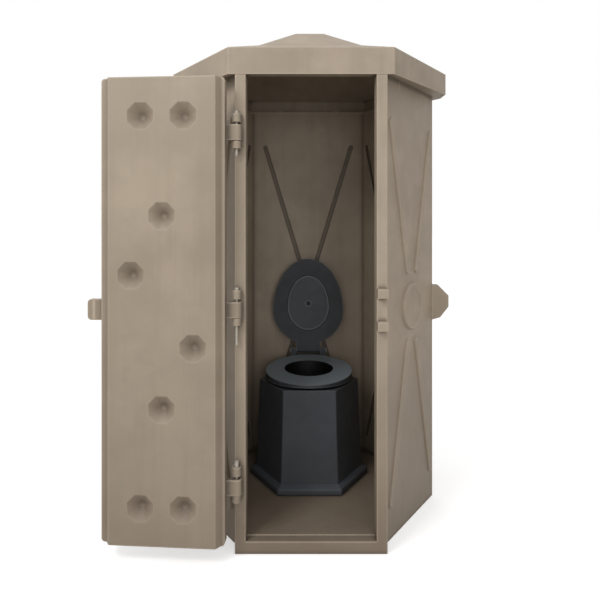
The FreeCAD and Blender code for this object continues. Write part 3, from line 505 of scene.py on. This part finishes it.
def galvanised_steel():
    """Dull zinc with its crystals, and a little brown staining."""
    recipe = Recipe(bpy.data.materials.new("galvanised_steel"))
    crystals = recipe.add("TexVoronoi", {"Vector": recipe.place, "Scale": CRYSTAL_SCALE}).outputs["Color"]
    shade = recipe.add("RGBToBW", {"Color": crystals}).outputs["Val"]
    stain = recipe.noise(scale=60, detail=5, roughness=0.65)
    base = recipe.mix(recipe.span(shade, 0.1, 0.9), ZINC_DEEP, ZINC_PALE)
    base = recipe.mix(recipe.span(stain, 0.55, 0.8, last=0.55), base, ZINC_STAIN)
    rough = recipe.span(shade, 0.1, 0.9, 0.50, 0.66)
    normal = recipe.bump(stain, distance=0.0004, strength=0.5)
    return recipe.finish({"Base Color": base, "Metallic": 0.4, "Roughness": rough, "Normal": normal})


RUBBER_DEEP = colour(0.018, 0.018, 0.018)
RUBBER_BLOOM = colour(0.055, 0.054, 0.052)


def black_rubber():
    """Matt rubber with a pale bloom."""
    recipe = Recipe(bpy.data.materials.new("black_rubber"))
    paling = recipe.noise(scale=140, detail=5, roughness=0.6)
    base = recipe.mix(recipe.span(paling, 0.45, 0.8), RUBBER_DEEP, RUBBER_BLOOM)
    normal = recipe.bump(paling, distance=0.0004, strength=0.4)
    return recipe.finish({"Base Color": base, "Roughness": 0.82, "Normal": normal})


def wear(thing, material):
    thing.data.materials.clear()
    thing.data.materials.append(material)


def dress():
    """Gives every piece its material, and most pieces their moulding."""
    by_slot = {
        "cabin_plastic": taupe_plastic("cabin_taupe"),
        # The pedestal gets a faint painted sheen on its upward faces
        "pedestal_plastic": charcoal_plastic("charcoal", tone=1.9, paling=0.12),
        "fixing_steel": galvanised_steel(),
        "buffer_rubber": black_rubber(),
    }
    # The drop chute and the plug's screw are painted near black as shade
    hole_shade_black = charcoal_plastic("hole_shade_black", tone=0.2, rim=0.0)
    # The rear walls' grooves get deeper painted shade in their corners
    rear = taupe_plastic("rear_wall_taupe", rim=0.0028, corner_shade=(0.97, 0.72))
    flank = taupe_plastic("flank_taupe", easing=0.0025, rim=0.005, scuff_and_highlight=(0.985, 0.88))
    by_node = {
        **dict.fromkeys(REAR_PANELS, rear),
        **dict.fromkeys(FLANK_PANELS, flank),
        # The door gets painted shade from its foot up to 1.75 m, and deeper painted shade in its dimples
        "door_leaf": taupe_plastic(
            "door_taupe", foot_shade=0.36, reach=1.75, easing=0.0065, hollow=0.09, corner_shade=(0.95, 0.58)),
        "drop_chute": hole_shade_black,
        # The seat gets a strong painted sheen on its top, and the inside of its hole is painted black as
        # shade
        "seat_ring": charcoal_plastic("seat_charcoal", tone=1.35, paling=0.75, black_shade=in_seat_hole),
        "lid": charcoal_plastic("lid_charcoal", tone=1.45),
        # The plug's wide pale rim is a painted highlight
        "lid_plug": charcoal_plastic(
            "plug_charcoal", tone=2.6, rim=1.0, rim_width=0.008, black_shade=in_plug_recess),
        "lid_plug_screw": hole_shade_black,
    }
    door_frame = moulding("door_frame_moulding", united(FRAME_NODES), FRAME_RADIUS, FRAME_NODES)
    wear(door_frame, by_slot["cabin_plastic"])
    for node, thing in frame["nodes"].items():
        material = by_node.get(node, by_slot[slot_of_node(node)])
        wear(thing, material)
        if node in EDGE_RADIUS:
            wear(moulding(f"{node}_moulding", thing.data, EDGE_RADIUS[node], [node]), material)


# Studio: a white floor and sky, two softboxes, and the camera that took the photograph

CAMERA_AT = (-0.045, -2.829, 1.322)
CAMERA_LEVEL = (math.radians(90), 0, 0)
CAMERA_LENS = 34.8
CAMERA_SENSOR = 36
CAMERA_LIFT = -0.1267

WHITE = colour(1, 1, 1)
SKY_LIGHT = 0.72

# The floor's paint as the camera sees it, and as it throws light back at the object
FLOOR_HALF = 60.0
FLOOR_DULL = colour(0.88, 0.88, 0.88)
FLOOR_BRIGHT = colour(0.91, 0.91, 0.91)
FLOOR_BOUNCE = colour(0.42, 0.40, 0.37)
FLOOR_GLOW = 0.40


def camera():
    data = bpy.data.cameras.new("camera")
    data.lens = CAMERA_LENS
    data.sensor_width = CAMERA_SENSOR
    data.shift_y = CAMERA_LIFT
    thing = linked(bpy.data.objects.new("camera", data))
    thing.location = CAMERA_AT
    thing.rotation_euler = CAMERA_LEVEL
    bpy.context.scene.camera = thing


def floor():
    """White to the camera, and darker as a thing that throws light back."""
    mesh = bmesh.new()
    bmesh.ops.create_grid(mesh, x_segments=1, y_segments=1, size=FLOOR_HALF)
    thing = made_of(mesh, "studio_floor")

    recipe = Recipe(bpy.data.materials.new("studio_white"))
    seen = recipe.seen()
    haze = recipe.noise(scale=1.5, detail=3)
    paint = recipe.mix(recipe.span(haze, 0.3, 0.7), FLOOR_DULL, FLOOR_BRIGHT)
    paint = recipe.mix(seen, FLOOR_BOUNCE, paint)
    wear(thing, recipe.finish({
        "Base Color": paint, "Roughness": 0.9, "Emission Color": WHITE,
        "Emission Strength": recipe.span(seen, 0, 1, last=FLOOR_GLOW)}))


def sky():
    """White to the camera, and softer as a light."""
    world = bpy.data.worlds.new("studio_sky")
    bpy.context.scene.world = world
    recipe = Recipe(world)
    strength = recipe.span(recipe.seen(), 0, 1, first=SKY_LIGHT)
    background = recipe.add("Background", {"Color": WHITE, "Strength": strength})
    recipe.add("OutputWorld", {"Surface": background.outputs["Background"]})


def softbox(name, at, aim, size, power):
    """A wide, even light at one place, turned towards another."""
    data = bpy.data.lights.new(name, "AREA")
    data.shape = "RECTANGLE"
    data.size, data.size_y = size
    data.energy = power
    thing = linked(bpy.data.objects.new(name, data))
    thing.location = at
    thing.rotation_euler = (Vector(aim) - Vector(at)).to_track_quat("-Z", "Y").to_euler()


def studio():
    camera()
    floor()
    sky()
    softbox("key", at=(-2.2, -3.0, 3.7), aim=(0, -0.2, 1.0), size=(1.4, 1.4), power=72)
    softbox("fill", at=(0.5, -5.2, 1.6), aim=(0, 0, 1.1), size=(2.4, 1.6), power=45)
    bpy.context.scene.view_settings.view_transform = "Standard"


dress()
studio()
